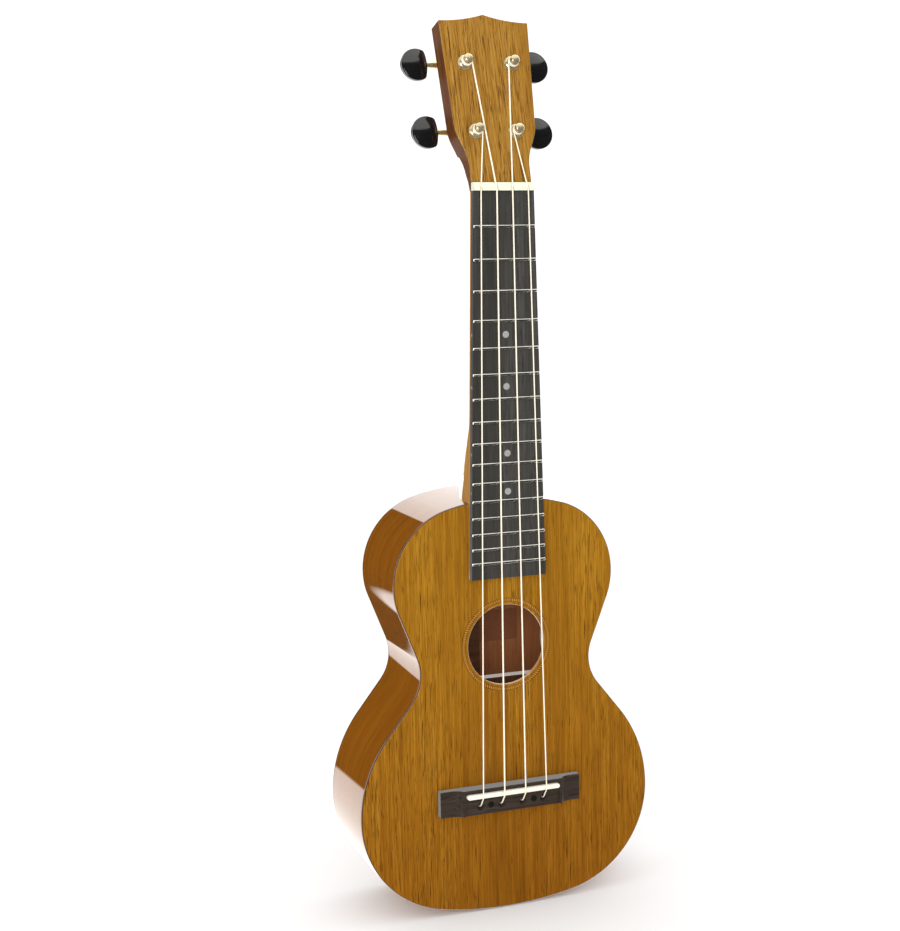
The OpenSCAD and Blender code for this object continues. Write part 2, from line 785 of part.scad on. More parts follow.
module worm_shaft(i) {
    color([0.8, 0.72, 0.48]) at_tuner(i) translate([0, worm_y, worm_offset]) union() {
        thread(worm_half_len - thread_root_w / 2);
        rod_x(-worm_half_len, worm_half_len, worm_root_r, worm_root_r);
        rod_x(-ear_x[1] - 0.6, collar_x, journal_r, journal_r);
        rod_x(collar_x, button_x, 2.4, 1.55);
        rod_x(button_x - eps, button_x + stem_len, journal_r - 0.2, journal_r - 0.2);
    }
}

// A domed disc with a thick round rim, cut off by a slightly bowed inner edge: [radius, half thickness]
LENS = [[6.5, 3.4], [9.2, 2.4], [button_r, 0.9]];
module button(i) {
    face = concat([[0, button_half_t]], [for (p = LENS) p]);
    rim = concat([for (k = [2 : -1 : 0]) [LENS[k][0], -LENS[k][1]]], [[0, -button_half_t]]);
    color([0.08, 0.08, 0.09]) at_tuner(i) translate([button_x, worm_y, worm_offset]) difference() {
        intersection() {
            translate([button_depth - button_r, 0, 0]) rotate([90, 0, 0]) rotate_extrude()
                polygon(concat(face, rim));
            translate([button_edge_r, 0, 0]) rod_y(-10, 10, button_edge_r);
        }
        rod_x(-1, stem_len, journal_r - 0.2, journal_r - 0.2);
    }
}

// A post turned about the Y axis: domed top, waist for the string, long shaft, seat for the wheel
module string_post(i) {
    seat_y = worm_y - wheel_half_t;
    dome = [for (a = [0 : 15 : 90]) [post_r * cos(a) * 0.97, post_top - 1.2 + 1.2 * sin(a)]];
    end_y = worm_y + wheel_half_t;
    profile = concat(
        [[0, -end_y], [wheel_bore_r, -end_y], [wheel_bore_r, -seat_y], [post_r, -seat_y],
         [post_r, 2.1], [post_waist_r, 2.4], [post_waist_r, 5.5], [post_r, 5.9]],
        [for (k = [0 : len(dome) - 2]) dome[k]],
        [[0, post_top]]);
    color([0.85, 0.78, 0.58]) at_tuner(i) difference() {
        rotate([90, 0, 0]) rotate_extrude() polygon(profile);
        translate([0, -6.9, 0]) rod_x(-5, 5, post_hole_r, post_hole_r);
        rod_y(worm_y - 4, worm_y + 5, gear_screw_r);
    }
}

// A straight-toothed wheel, with a gap facing the worm
module wheel_2d() {
    root_r = 3.3;
    tip_r = 4.45;
    half_root = 0.43 / root_r * 180 / PI;
    half_tip = 0.14 / tip_r * 180 / PI;
    step = 360 / wheel_teeth;
    tooth = [[root_r, -half_root], [tip_r, -half_tip], [tip_r, half_tip], [root_r, half_root]];
    polygon([for (k = [0 : wheel_teeth - 1], c = tooth)
        let (a = 90 + (k + 0.5) * step + c[1])
        c[0] * [cos(a), sin(a)]]);
}

module worm_wheel(i) {
    color([0.8, 0.72, 0.48]) at_tuner(i) difference() {
        slab(worm_y + wheel_half_t, 2 * wheel_half_t) wheel_2d();
        rod_y(0, worm_y + 10, wheel_bore_r);
    }
}

module gear_screw(i) {
    color([0.75, 0.68, 0.45]) at_tuner(i) difference() {
        union() {
            rod_y(worm_y + wheel_half_t, worm_y + wheel_half_t + 1.2, 2.6);
            rod_y(worm_y - 4, worm_y + wheel_half_t + eps, gear_screw_r);
        }
        translate([-3, worm_y + wheel_half_t + 0.7, -0.3]) cube([6, 1, 0.6]);
    }
}

// The string's turns on the post: a ring each side of where the string arrives
module winding(i) {
    r = STRING_R[i - 1];
    color([0.94, 0.9, 0.8]) at_tuner(i) for (s = [-1, 1])
        translate([0, winding_y + s * winding_gap, 0]) rotate([90, 0, 0]) rotate_extrude()
            translate([post_waist_r + r - 0.01, 0]) circle(r = r - 0.02);
}

module post_bushings() {
    profile = [[post_bore_r, -bushing_len], [bushing_r, -bushing_len], [bushing_r, 0], [bushing_flange_r, 0],
        [bushing_flange_r, 0.8], [4.3, 1.6], [3.6, 2], [post_bore_r, 2]];
    color([0.85, 0.78, 0.58]) for (i = [1 : 4]) at_tuner(i)
        rotate([90, 0, 0]) rotate_extrude() polygon(profile);
}

module tuner_screws() {
    color([0.75, 0.68, 0.45]) for (i = [1 : 4], s = PLATE_SCREWS)
        at_tuner(i) translate([0, 0, s]) difference() {
        union() {
            rod_y(head_t - screw_len, plate_y + eps, plate_screw_r);
            translate([0, plate_y, 0]) rotate([-90, 0, 0]) cylinder(h = 1.1, r1 = 2.3, r2 = 1.5);
        }
        translate([-3, plate_y + 0.6, -0.25]) cube([6, 1, 0.5]);
    }
}

soundboard();
back_plate();
side_left();
side_right();
neck();
headstock_veneer();
heel_block();
tail_block();
linings();
soundboard_braces();
bridge_plate();
back_braces();
back_centre_strip();
rosette();
label();
bridge();
saddle();
bridge_bolts();
bridge_nuts();
bolt_caps();
fretboard();
nut();
frets();
fret_markers();
side_markers();
neck_dowels();
string(1);  // string_1
string(2);  // string_2
string(3);  // string_3
string(4);  // string_4
tuner_plate(1);  // tuner_plate_1
tuner_plate(2);  // tuner_plate_2
tuner_plate(3);  // tuner_plate_3
tuner_plate(4);  // tuner_plate_4
worm_shaft(1);  // worm_shaft_1
worm_shaft(2);  // worm_shaft_2
worm_shaft(3);  // worm_shaft_3
worm_shaft(4);  // worm_shaft_4
button(1);  // button_1
button(2);  // button_2
button(3);  // button_3
button(4);  // button_4
string_post(1);  // string_post_1
string_post(2);  // string_post_2
string_post(3);  // string_post_3
string_post(4);  // string_post_4
worm_wheel(1);  // worm_wheel_1
worm_wheel(2);  // worm_wheel_2
worm_wheel(3);  // worm_wheel_3
worm_wheel(4);  // worm_wheel_4
gear_screw(1);  // gear_screw_1
gear_screw(2);  // gear_screw_2
gear_screw(3);  // gear_screw_3
gear_screw(4);  // gear_screw_4
winding(1);  // winding_1
winding(2);  // winding_2
winding(3);  // winding_3
winding(4);  // winding_4
post_bushings();
tuner_screws();
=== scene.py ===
import json
import math

import bpy
from mathutils import Matrix, Vector


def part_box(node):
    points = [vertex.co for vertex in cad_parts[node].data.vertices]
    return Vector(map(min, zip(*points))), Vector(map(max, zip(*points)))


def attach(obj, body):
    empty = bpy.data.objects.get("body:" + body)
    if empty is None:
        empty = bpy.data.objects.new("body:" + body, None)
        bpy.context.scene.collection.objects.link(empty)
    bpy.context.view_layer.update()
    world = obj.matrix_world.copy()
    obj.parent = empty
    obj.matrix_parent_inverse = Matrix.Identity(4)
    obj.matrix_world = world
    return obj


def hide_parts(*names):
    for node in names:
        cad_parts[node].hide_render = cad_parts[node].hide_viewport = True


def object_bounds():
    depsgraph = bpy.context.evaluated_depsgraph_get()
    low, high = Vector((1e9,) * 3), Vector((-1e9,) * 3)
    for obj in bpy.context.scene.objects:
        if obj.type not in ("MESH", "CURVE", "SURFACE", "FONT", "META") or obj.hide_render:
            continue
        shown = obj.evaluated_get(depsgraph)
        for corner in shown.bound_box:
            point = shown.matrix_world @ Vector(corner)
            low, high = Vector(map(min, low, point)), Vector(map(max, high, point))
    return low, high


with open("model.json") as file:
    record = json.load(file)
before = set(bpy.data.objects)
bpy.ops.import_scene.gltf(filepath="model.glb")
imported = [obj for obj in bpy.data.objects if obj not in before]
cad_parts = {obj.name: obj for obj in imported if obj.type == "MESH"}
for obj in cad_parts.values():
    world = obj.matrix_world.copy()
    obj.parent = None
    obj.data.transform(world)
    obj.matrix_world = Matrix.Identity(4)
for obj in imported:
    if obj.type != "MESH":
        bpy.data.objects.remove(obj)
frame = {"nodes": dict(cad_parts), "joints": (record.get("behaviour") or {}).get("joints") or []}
cad_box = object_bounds()

MM = 0.001
scene = bpy.context.scene

# ---------------------------------------------------------------- places, from the frame
TOP_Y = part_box("soundboard")[0].y
TOP_IN_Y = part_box("soundboard")[1].y
BACK_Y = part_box("back_plate")[1].y
BACK_IN_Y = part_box("back_plate")[0].y
BODY_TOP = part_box("soundboard")[1].z
HOLE_Z = sum(corner.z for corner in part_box("rosette")) / 2
NUT_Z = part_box("nut")[0].z
HEAD_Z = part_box("nut")[1].z
BOARD_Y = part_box("fretboard")[0].y
NECK_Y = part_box("fretboard")[1].y
BOARD_END_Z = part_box("fretboard")[0].z
JOINTS = {joint["name"]: joint for joint in frame["joints"]}
TUNERS = (1, 2, 3, 4)
POST_AXIS = Vector(JOINTS["post_1_turn"]["axis"])
TILT = math.atan2(POST_AXIS.z, -POST_AXIS.y)
HEAD_Y = NECK_Y - 0.4 * MM
HEAD = Matrix.Translation((0, HEAD_Y, HEAD_Z)) @ Matrix.Rotation(-TILT, 4, "X")

# Sizes that the frame's boxes don't give, in millimetres
HOLE_R = 26.0
SIDE_T = 2.0
NECK_RISE = 2.6
NUT_HALF_W = 19.8
BOARD_HALF_W = 25.1
HEAD_T = 13.5
VENEER_T = 1.0
HEAD_LEN = 101.9
CROWN_H = 4.4
WORM_Y = 21.0
WORM_OFFSET = 6.4
BUTTON_X = 16.9
BUTTON_R = 10.3
BUTTON_DEPTH = 17.1
BUTTON_EDGE_R = 28.0
WAIST_R = 2.4
WINDING_Y = -3.95
STRING_R = (0.42, 0.52, 0.48, 0.42)
SADDLE_H = 11.3
BRIDGE_REAR_H = 7.0
ROSETTE_W = 2.8
SCALE_LENGTH = 380.0


# ---------------------------------------------------------------- camera
def make_camera():
    yaw, pitch, roll = (math.radians(a) for a in (-19.9, -8.65, -1.12))
    forward = Vector((-math.sin(yaw) * math.cos(pitch), math.cos(yaw) * math.cos(pitch), math.sin(pitch)))
    right = Vector((math.cos(yaw), math.sin(yaw), 0))
    up = right.cross(forward)
    turned_right = math.cos(roll) * right + math.sin(roll) * up
    turned_up = math.cos(roll) * up - math.sin(roll) * right
    data = bpy.data.cameras.new("camera")
    data.lens = 59.76
    data.shift_x = 0.001
    data.shift_y = 0.0348
    data.clip_start = 0.05
    data.clip_end = 60
    camera = bpy.data.objects.new("camera", data)
    scene.collection.objects.link(camera)
    basis = Matrix((turned_right, turned_up, -forward)).transposed().to_4x4()
    camera.matrix_world = Matrix.Translation((-0.3594, -0.958, 0.2817)) @ basis
    scene.camera = camera


make_camera()


# ---------------------------------------------------------------- materials
def srgb(red, green, blue):
    """A colour picked on the 0 to 255 display scale, as the linear value that a shader takes."""
    def linear(v):
        v /= 255
        return v / 12.92 if v <= 0.04045 else ((v + 0.055) / 1.055) ** 2.4
    return (linear(red), linear(green), linear(blue), 1.0)


class Graph:
    """Short calls for adding and joining the nodes of a material or of the world."""

    def __init__(self, tree, coordinates):
        self.tree = tree
        self.place = tree.nodes.new("ShaderNodeTexCoord").outputs[coordinates]

    def add(self, kind, sockets, **settings):
        made = self.tree.nodes.new(kind)
        for key, value in settings.items():
            setattr(made, key, value)
        for key, value in sockets.items():
            if isinstance(value, bpy.types.NodeSocket):
                self.tree.links.new(value, made.inputs[key])
            else:
                made.inputs[key].default_value = value
        return made

    def stretched(self, scale, offset=(0, 0, 0), turn=(0, 0, 0)):
        sockets = {"Vector": self.place, "Scale": scale, "Location": offset, "Rotation": turn}
        return self.add("ShaderNodeMapping", sockets).outputs[0]

    def noise(self, vector, scale=1.0, detail=3.0, rough=0.55, distort=0.0):
        sockets = {"Vector": vector, "Scale": scale, "Detail": detail}
        sockets.update({"Roughness": rough, "Distortion": distort})
        return self.add("ShaderNodeTexNoise", sockets).outputs[0]

    def ramp(self, factor, stops):
        made = self.add("ShaderNodeValToRGB", {"Fac": factor})
        elements = made.color_ramp.elements
        while len(elements) < len(stops):
            elements.new(0.5)
        for element, (at, colour) in zip(elements, stops):
            element.position = at
            element.color = colour if isinstance(colour, tuple) else (colour, colour, colour, 1)
        return made.outputs[0]

    def mix(self, factor, a, b, mode="MIX"):
        made = self.add("ShaderNodeMix", {}, data_type="RGBA", blend_type=mode)
        for index, value in ((0, factor), (6, a), (7, b)):
            if isinstance(value, bpy.types.NodeSocket):
                self.tree.links.new(value, made.inputs[index])
            else:
                made.inputs[index].default_value = value
        return made.outputs[2]

    def maths(self, operation, a, b=0.0, clamp=False):
        made = self.add("ShaderNodeMath", {0: a, 1: b}, operation=operation, use_clamp=clamp)
        return made.outputs[0]

    def above(self, value, edge, blur):
        """0 below an edge and 1 above it, with a short ramp between."""
        moved = self.maths("SUBTRACT", value, edge)
        return self.maths("ADD", self.maths("DIVIDE", moved, blur), 0.5, clamp=True)


class Shader(Graph):
    """One material on the principled surface."""

    def __init__(self, name, **constants):
        self.material = bpy.data.materials.new(name)
        self.material.use_nodes = True
        super().__init__(self.material.node_tree, "Object")
        self.surface = self.tree.nodes["Principled BSDF"]
        for socket, value in constants.items():
            self.surface.inputs[socket.replace("_", " ")].default_value = value

    def bump(self, height, depth, strength=1.0):
        made = self.add("ShaderNodeBump", {"Height": height, "Distance": depth, "Strength": strength})
        self.tree.links.new(made.outputs[0], self.surface.inputs["Normal"])

    def set(self, socket, value):
        self.tree.links.new(value, self.surface.inputs[socket])


def wood(name, tones, pore, along="Z", pores=1.0, fine=1.0, lean=0.0, offset=(0, 0, 0), bump=0.00005,
         painted_shade=None, **constants):
    """Straight-grained wood with dark pores.

    tones are the dark, middle and light browns, along is the grain's direction, fine narrows the grain,
    lean turns it with a tilted part, and a painted shade colour, when given, darkens the part's lower end.
    """
    s = Shader(name, **constants)
    s.place = s.stretched((1, 1, 1), turn=(lean, 0, 0))

    def grain(across, lengthwise):
        scale = [across, across, across]
        if along == "Z":
            scale[2] = lengthwise
        elif along == "X":
            scale[0] = lengthwise
        else:  # bent wood: the grain runs round the outline, so only the depth is across it
            scale[0] = scale[2] = lengthwise
        return s.stretched(tuple(scale), offset)

    broad = s.noise(grain(26, 2.2), 1.0, 2, 0.5, 0.4)
    bands = s.noise(grain(150 * fine, 4), 1.0, 4, 0.6, 0.6)
    threads = s.noise(grain(720 * fine, 26), 1.0, 3, 0.6)
    dots = s.noise(grain(1150 * fine, 90), 1.0, 2, 0.5)
    short = s.noise(grain(760 * fine, 36), 1.0, 2, 0.5)
    body = s.maths("ADD", s.maths("MULTIPLY", broad, 0.45), s.maths("MULTIPLY", bands, 0.55))
    body = s.maths("ADD", body, s.maths("MULTIPLY", s.maths("SUBTRACT", threads, 0.5), 0.55))
    colour = s.ramp(body, [(0.30, tones[0]), (0.5, tones[1]), (0.70, tones[2])])
    where = s.maths("ADD", s.maths("MULTIPLY", broad, 0.24), s.maths("MULTIPLY", bands, 0.24))
    long_pores = s.ramp(s.maths("ADD", short, where), [(0.84, 0.0), (0.93, 1.0)])
    small_pores = s.ramp(s.maths("ADD", dots, where), [(0.84, 0.0), (0.92, 1.0)])
    mask = s.maths("MULTIPLY", s.maths("ADD", long_pores, small_pores), 0.72 * pores, clamp=True)
    colour = s.mix(mask, colour, pore)
    # Painted shade: the wood's colour is darkened towards the part's lower end
    if painted_shade:
        height = s.add("ShaderNodeSeparateXYZ", {0: s.place}).outputs["Z"]
        painted_shade_tint = s.ramp(s.above(height, -0.01, 0.18), [(0.0, painted_shade), (1.0, (1.0, 1.0, 1.0, 1.0))])
        colour = s.mix(1.0, colour, painted_shade_tint, "MULTIPLY")
    s.set("Base Color", colour)
    s.set("Roughness", s.ramp(threads, [(0.2, 0.30), (0.8, 0.42)]))
    s.bump(s.maths("SUBTRACT", s.maths("MULTIPLY", threads, 0.3), mask), bump, 0.6)
    return s.material


def plain(name, colour, spread, grain, rough, bump, **constants):
    """A moulded or worked surface: a base colour with slight mottling, fine texture and uneven roughness."""
    s = Shader(name, **constants)
    cloud = s.noise(s.stretched((grain, grain, grain)), 1.0, 4)
    darker = tuple(c * (1 - spread) for c in colour[:3]) + (1.0,)
    lighter = tuple(min(1.0, c * (1 + spread)) for c in colour[:3]) + (1.0,)
    s.set("Base Color", s.ramp(cloud, [(0.3, darker), (0.7, lighter)]))
    speck = s.noise(s.stretched((grain * 6,) * 3), 1.0, 2)
    s.set("Roughness", s.ramp(speck, [(0.3, rough * 0.8), (0.7, rough * 1.2)]))
    s.bump(speck, bump, 0.5)
    return s.material


def metal(name, colour, rough, metallic=0.8, bump=0.000015):
    """Polished plated metal with fine drawn lines and dull patches."""
    s = Shader(name, Metallic=metallic)
    lines = s.noise(s.stretched((2600, 300, 300)), 1.0, 3)
    patches = s.noise(s.stretched((160, 160, 160)), 1.0, 3)
    dull = tuple(c * 0.8 for c in colour[:3]) + (1.0,)
    s.set("Base Color", s.ramp(patches, [(0.35, dull), (0.65, colour)]))
    mixed = s.maths("ADD", s.maths("MULTIPLY", lines, 0.6), s.maths("MULTIPLY", patches, 0.4))
    s.set("Roughness", s.ramp(mixed, [(0.3, rough * 0.7), (0.7, rough * 1.5)]))
    s.bump(lines, bump, 0.4)
    return s.material


GLOSS = {"Coat_Weight": 1.0, "Coat_Roughness": 0.05, "Coat_IOR": 1.5, "Specular_IOR_Level": 0.0}
MIRROR = {"Coat_Weight": 1.0, "Coat_Roughness": 0.02, "Coat_IOR": 1.65, "Specular_IOR_Level": 0.0}
SOFT = {"Coat_Weight": 0.4, "Coat_Roughness": 0.15}
SIDE_TONES = (srgb(118, 66, 4), srgb(132, 77, 6), srgb(146, 88, 10))
NECK_TONES = (srgb(164, 118, 62), srgb(186, 140, 80), srgb(202, 160, 98))
FINISH = {
    # The soundboard's wood is darkened towards its lower end as painted shade
    "top": wood("top_wood", (srgb(118, 76, 14), srgb(146, 99, 22), srgb(170, 124, 36)), srgb(66, 34, 6),
                fine=2.1, painted_shade=(0.80, 0.68, 0.60, 1.0), **GLOSS),
    "head": wood("head_wood", (srgb(118, 78, 26), srgb(148, 104, 38), srgb(172, 130, 58)), srgb(80, 46, 14),
                 fine=1.8, lean=TILT, offset=(3.1, 0, 1.7), **GLOSS),
    "head_edge": wood("head_edge_wood", (srgb(66, 34, 12), srgb(84, 46, 16), srgb(102, 58, 24)),
                      srgb(44, 22, 8), offset=(1, 5, 0), pores=0.5, lean=TILT, Specular_IOR_Level=0.1),
    "edge": wood("edge_wood", (srgb(66, 36, 10), srgb(84, 48, 14), srgb(100, 60, 20)), srgb(48, 24, 6),
                 along="bent", pores=0.4, **GLOSS),
    "side": wood("side_wood", SIDE_TONES, srgb(90, 48, 4), along="bent", pores=0.35, bump=0.00001, **MIRROR),
    "back": wood("back_wood", SIDE_TONES, srgb(76, 42, 6), offset=(7, 2, 3), **GLOSS),
    "back_inside": wood("back_inside_wood", (srgb(146, 92, 56), srgb(160, 104, 64), srgb(174, 116, 74)),
                        srgb(112, 68, 38), offset=(7, 2, 3), pores=0.5),
    "neck": wood("neck_wood", NECK_TONES, srgb(130, 88, 44), pores=0.5, bump=0.00002, **MIRROR),
    "raw": wood("raw_wood", (srgb(150, 108, 62), srgb(176, 134, 84), srgb(196, 156, 106)),
                srgb(124, 84, 44), pores=0.4),
    "inner": wood("inner_wood", (srgb(92, 58, 34), srgb(110, 72, 44), srgb(128, 86, 56)), srgb(74, 46, 26),
                  along="X", pores=0.5),
    "board": wood("board_wood", (srgb(48, 46, 43), srgb(60, 58, 54), srgb(74, 72, 68)), srgb(38, 36, 34),
                  pores=0.6, bump=0.00004, Coat_Weight=0.1, Coat_Roughness=0.28, Specular_IOR_Level=0.2),
    "bridge": wood("bridge_wood", (srgb(44, 36, 31), srgb(58, 48, 41), srgb(72, 61, 52)), srgb(30, 24, 21),
                   along="X", offset=(0, 4, 2), Coat_Weight=0.08, Coat_Roughness=0.25,
                   Specular_IOR_Level=0.15),
    "rosette": wood("rosette_wood", (srgb(98, 58, 14), srgb(124, 78, 20), srgb(146, 96, 30)),
                    srgb(70, 38, 10), **GLOSS),
    "dash": plain("dash_wood", srgb(178, 134, 60), 0.12, 900, 0.4, 0.00001, **GLOSS),
    "bone": plain("bone", srgb(248, 242, 220), 0.03, 180, 0.3, 0.00002, **SOFT),
    "nut_bone": plain("nut_bone", srgb(222, 222, 200), 0.03, 180, 0.32, 0.00002, **SOFT),
    "nylon": plain("nylon", srgb(244, 234, 212), 0.04, 300, 0.25, 0.00001, **SOFT),
    "button": plain("button_plastic", srgb(14, 14, 16), 0.15, 120, 0.16, 0.00001,
                    Coat_Weight=1.0, Coat_Roughness=0.03),
    "cap": plain("cap_plastic", srgb(22, 20, 20), 0.15, 300, 0.4, 0.00002,
                 Coat_Weight=0.3, Coat_Roughness=0.2),
    "marker": plain("marker_pearl", srgb(150, 152, 148), 0.08, 700, 0.2, 0.00001,
                    Coat_Weight=1.0, Coat_Roughness=0.05),
    "label": plain("label_paper", srgb(136, 84, 54), 0.10, 500, 0.8, 0.00003),
    "brass": metal("pale_brass", (0.72, 0.58, 0.30, 1.0), 0.27),
    "post": metal("post_brass", (0.80, 0.70, 0.44, 1.0), 0.24),
    "fret": metal("fret_metal", (0.95, 0.94, 0.88, 1.0), 0.17, metallic=1.0, bump=0.000001),
    "steel": metal("steel", (0.60, 0.60, 0.62, 1.0), 0.28),
}


# ---------------------------------------------------------------- mesh helpers
def piece(name, vertices, faces, body, slot, nodes, finishes, face_finish=None, sharp=35, bevel=None):
    """A mesh object that rides on a body, stands for some CAD nodes and takes its finishes from the FINISH
    table. The slot is not used.
    """
    mesh = bpy.data.meshes.new(name)
    mesh.from_pydata([tuple(v) for v in vertices], [], faces)
    mesh.validate()
    mesh.update()
    made = bpy.data.objects.new(name, mesh)
    scene.collection.objects.link(made)
    for finish in finishes:
        mesh.materials.append(FINISH[finish])
    if face_finish:
        for polygon, index in zip(mesh.polygons, face_finish):
            polygon.material_index = index
    for polygon in mesh.polygons:
        polygon.use_smooth = True
    mesh.set_sharp_from_angle(angle=math.radians(sharp))
    if bevel:
        add_bevel(made, bevel)
    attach(made, body)
    if nodes:
        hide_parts(*nodes)
    return made


def add_bevel(made, width):
    modifier = made.modifiers.new("bevel", "BEVEL")
    modifier.width = width * MM
    modifier.segments = 2
    modifier.limit_method = "ANGLE"
    modifier.angle_limit = math.radians(35)
    modifier.harden_normals = True


def strip(rings):
    """Quads between neighbouring rings that all have the same number of points."""
    n = len(rings[0])
    faces = []
    for i in range(len(rings) - 1):
        for k in range(n):
            a, b = i * n + k, i * n + (k + 1) % n
            faces.append((a, b, b + n, a + n))
    return faces


def joined(*parts):
    """One vertex list and one face list from several."""
    vertices, faces = [], []
    for part_vertices, part_faces in parts:
        start = len(vertices)
        vertices.extend(part_vertices)
        faces.extend(tuple(start + i for i in face) for face in part_faces)
    return vertices, faces


def capped(rings):
    """A closed skin over rings: walls and two end caps."""
    n = len(rings[0])
    vertices = [p for ring in rings for p in ring]
    faces = strip(rings)
    faces.append(tuple(reversed(range(n))))
    faces.append(tuple(range(len(vertices) - n, len(vertices))))
    return vertices, faces


def tube(path, radii, sides=12):
    """A round tube along a path, with a radius at each point."""
    path = [Vector(p) for p in path]
    rings = []
    across = None
    for i, point in enumerate(path):
        before, after = path[max(i - 1, 0)], path[min(i + 1, len(path) - 1)]
        along = (after - before).normalized()
        if across is None:
            across = along.orthogonal().normalized()
        across = (across - along * across.dot(along)).normalized()
        other = along.cross(across)
        rings.append([point + radii[i] * (math.cos(t) * across + math.sin(t) * other)
                      for t in (2 * math.pi * k / sides for k in range(sides))])
    return capped(rings)


def rounded(path, radius, steps=6):
    """The path with each inner corner cut by a short curve."""
    path = [Vector(p) for p in path]
    made = [path[0]]
    for before, corner, after in zip(path, path[1:], path[2:]):
        reach = min(radius, (corner - before).length * 0.45, (after - corner).length * 0.45)
        start = corner + (before - corner).normalized() * reach
        end = corner + (after - corner).normalized() * reach
        for k in range(steps + 1):
            t = k / steps
            made.append(start * (1 - t) ** 2 + corner * 2 * t * (1 - t) + end * t * t)
    made.append(path[-1])
    return made


# ---------------------------------------------------------------- the body's outline
# Signed radius and turn of each arc, from the top centre clockwise, or 0 and a straight length
HALF_BODY = ((144.3, 15.6), (48.8, 95.7), (0, 30.4), (-28.6, -59.7), (0, 26.4), (85.9, 37.0), (67.1, 80.1))
HEAD_EDGE = ((0, 10.0), (30.0, 22.0), (0, 7.8), (-25.0, -19.7))
# The outline's finer arcs are drawn in by this much, to stay inside the coarser ones
SKIN = 0.03
EDGE_R = 1.2


STRIDE = 3.0


def walk(start, heading, path, step=1.5):
    """Points along arcs and straights, from start with heading in degrees clockwise from +X."""
    x, z = start
    points = []
    for radius, turn in path:
        h = math.radians(heading)
        if radius == 0:
            count = max(1, round(turn / STRIDE))
            for i in range(1, count + 1):
                points.append((x + math.cos(h) * turn * i / count, z - math.sin(h) * turn * i / count))
        else:
            count = max(2, math.ceil(abs(turn) / step))
            for i in range(1, count + 1):
                a = h + math.radians(turn) * i / count
                points.append((x + radius * (math.sin(a) - math.sin(h)),
                               z + radius * (math.cos(a) - math.cos(h))))
            heading += turn
        x, z = points[-1]
    return points


def half_body(inset):
    """The right half of the body's outline in millimetres, set in, from top centre to bottom centre."""
    inset += SKIN
    path = [(radius - inset if radius else 0, turn) for radius, turn in HALF_BODY]
    points = walk((0, BODY_TOP / MM - inset), 0, path)
    left = 180 - sum(turn for radius, turn in HALF_BODY if radius)
    closing = points[-1][0] / math.sin(math.radians(left))
    points += walk(points[-1], 180 - left, [(closing, left)])
    return [(0, BODY_TOP / MM - inset)] + points


def body_loop(inset):
    half = half_body(inset)
    return half + [(-x, z) for x, z in half[-2:0:-1]]


def flat_ring(points, y):
    return [Vector((x * MM, y, z * MM)) for x, z in points]


def plate_edge(inner_y, outer_y):
    """Rings from a plate's inner edge, round its outer corner, to its flat face."""
    inward = 1 if inner_y > outer_y else -1
    rings = [flat_ring(body_loop(0), inner_y)]
    for k in range(7):
        a = math.radians(15 * k)
        y = outer_y + inward * EDGE_R * (1 - math.sin(a)) * MM
        rings.append(flat_ring(body_loop(EDGE_R * (1 - math.cos(a))), y))
    return rings


def hole_ring(radius, y):
    """A ring round the soundhole whose points face those of the outline."""
    points = []
    for x, z in body_loop(EDGE_R):
        a = math.atan2(z - HOLE_Z / MM, x)
        points.append((radius * math.cos(a), HOLE_Z / MM + radius * math.sin(a)))
    return flat_ring(points, y)


def make_soundboard():
    rings = plate_edge(TOP_IN_Y, TOP_Y)
    chamfer = 0.35
    rings.append(hole_ring(HOLE_R + 7, TOP_Y))
    rings.append(hole_ring(HOLE_R + chamfer, TOP_Y))
    rings.append(hole_ring(HOLE_R, TOP_Y + chamfer * MM))
    rings.append(hole_ring(HOLE_R, TOP_IN_Y))
    rings.append(rings[0])
    n = len(rings[0])
    vertices = [p for ring in rings[:-1] for p in ring]
    faces = strip(rings[:-1])
    last = (len(rings) - 2) * n
    faces += [(last + k, last + (k + 1) % n, (k + 1) % n, k) for k in range(n)]
    kinds = [1] * 5 + [0] * (len(rings) - 1 - 5 - 3) + [2, 2, 0]
    face_finish = [kind for kind in kinds for _ in range(n)]
    return piece("soundboard_plate", vertices, faces, "root", "top_wood", ["soundboard"],
                 ["top", "edge", "raw"], face_finish)


def make_back():
    rings = plate_edge(BACK_IN_Y, BACK_Y)
    n = len(rings[0])
    vertices = [p for ring in rings for p in ring]
    faces = [tuple(reversed(face)) for face in strip(rings)]
    faces.append(tuple(range(n)))
    faces.append(tuple(reversed(range(len(vertices) - n, len(vertices)))))
    face_finish = [1] * (5 * n) + [0] * (len(faces) - 5 * n)
    face_finish[-2] = 2
    return piece("back_panel", vertices, faces, "root", "body_wood", ["back_plate"],
                 ["back", "edge", "back_inside"], face_finish)


def make_side(hand):
    """One bent side: +1 is the right one."""
    outer, inner = half_body(0), half_body(SIDE_T)
    section = []
    for (xo, zo), (xi, zi) in zip(outer, inner):
        section.append([Vector((hand * x * MM, y, z * MM)) for x, z, y in (
            (xo, zo, BACK_IN_Y), (xo, zo, TOP_IN_Y), (xi, zi, TOP_IN_Y), (xi, zi, BACK_IN_Y))])
    vertices, faces = capped(section)
    if hand < 0:
        faces = [tuple(reversed(face)) for face in faces]
    name = "right" if hand > 0 else "left"
    return piece(f"bent_side_{name}", vertices, faces, "root", "body_wood", [f"side_{name}"], ["side"])


# ---------------------------------------------------------------- neck and headstock
def power(v, exponent):
    return math.copysign(abs(v) ** exponent, v)


def board_half_w(z):
    return NUT_HALF_W + (BOARD_HALF_W - NUT_HALF_W) * (NUT_Z / MM - z) / ((NUT_Z - BOARD_END_Z) / MM)


# Heel: depth behind the soundboard's face, half width, how far it stands above the body
HEEL = ((11, 23.6, 50), (19, 22.4, 29), (28, 19.8, 19.5), (42, 14.6, 14), (64, 6.9, 12.5))
HEEL_ROOT = 6


